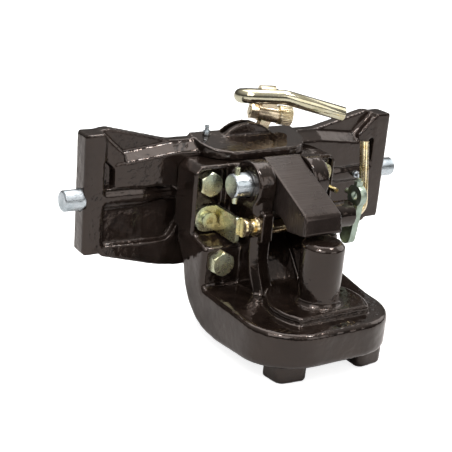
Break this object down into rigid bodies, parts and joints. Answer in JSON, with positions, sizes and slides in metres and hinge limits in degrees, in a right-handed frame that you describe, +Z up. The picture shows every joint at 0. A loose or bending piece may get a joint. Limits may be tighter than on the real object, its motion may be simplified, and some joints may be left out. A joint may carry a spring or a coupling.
{
  "type": "tow hitch",
  "caption": "Height-adjustable tow hitch: cast carriage with locking pins, bolted hook, fixed coupling pin and swinging keeper with release shaft.",
  "frame": {"origin": "axis of the coupling pin where it meets its seat on the hook", "axes": "+X to the right along the carriage as seen from behind the tractor, +Y from the coupling pin towards the tractor, +Z up along the coupling pin"},
  "size_m": [0.428, 0.2357, 0.2489],
  "materials": {
    "black_paint": "thick gloss black paint over cast texture",
    "keeper_paint": "gloss black paint over brushed steel",
    "clear_zinc": "bright bluish zinc plating",
    "yellow_zinc": "iridescent yellow zinc plating",
    "olive_zinc": "olive yellow zinc plating",
    "gold_zinc": "gold passivated turned steel",
    "cream_chrome": "bright drawn bar with a warm tint",
    "bronze_bush": "dull bearing bronze",
    "dark_steel": "oiled dark steel"
  },
  "bodies": {
    "root": {"carriage": "black_paint", "rear_cover": "black_paint", "cover_screws": "clear_zinc", "cam_pivot": "clear_zinc", "top_grease_nipple": "clear_zinc", "hook_body": "black_paint", "coupling_pin": "black_paint", "coupling_pin_clip": "dark_steel", "keeper_pivot": "clear_zinc", "pivot_roll_pin": "yellow_zinc", "wing_grease_nipple": "clear_zinc", "lever_stop_screw": "gold_zinc", "retaining_bracket": "yellow_zinc", "bracket_screw": "yellow_zinc", "upper_flange_bolts": "yellow_zinc", "lower_flange_bolts": "yellow_zinc"},
    "selector_lever": {"selector_cam": "olive_zinc", "handle_hub": "olive_zinc", "handle_bar": "cream_chrome", "clamp_screw": "olive_zinc", "clamp_nut": "olive_zinc"},
    "lock_pin_left": {"lock_pin_left": "clear_zinc", "follower_peg_left": "dark_steel"},
    "lock_pin_right": {"lock_pin_right": "clear_zinc", "follower_peg_right": "dark_steel"},
    "keeper": {"keeper": "keeper_paint", "keeper_bushes": "bronze_bush"},
    "release_shaft": {"release_shaft": "gold_zinc", "release_lever": "clear_zinc", "lever_eye_screw": "yellow_zinc", "lever_eye_stop": "yellow_zinc"}
  },
  "joints": [
    {"name": "lever_swing", "type": "hinge", "parent": "root", "child": "selector_lever", "pos_m": [0, 0.162, 0.0768], "axis": [0, -1, 0], "range_deg": [0, 40]},
    {"name": "left_pin_slide", "type": "slide", "parent": "root", "child": "lock_pin_left", "axis": [1, 0, 0], "range_m": [0, 0.01901]},
    {"name": "right_pin_slide", "type": "slide", "parent": "root", "child": "lock_pin_right", "axis": [-1, 0, 0], "range_m": [0, 0.01901]},
    {"name": "keeper_pivot", "type": "hinge", "parent": "root", "child": "keeper", "pos_m": [0, 0.0805, 0.102], "axis": [-1, 0, 0], "range_deg": [0, 90]},
    {"name": "release_turn", "type": "hinge", "parent": "root", "child": "release_shaft", "pos_m": [0, 0.0655, 0.0618], "axis": [1, 0, 0], "range_deg": [0, 90]}
  ],
  "couplings": [
    {"joint": "left_pin_slide", "follows": "lever_swing", "m_per_rad": 0.027216},
    {"joint": "right_pin_slide", "follows": "lever_swing", "m_per_rad": 0.027216}
  ]
}
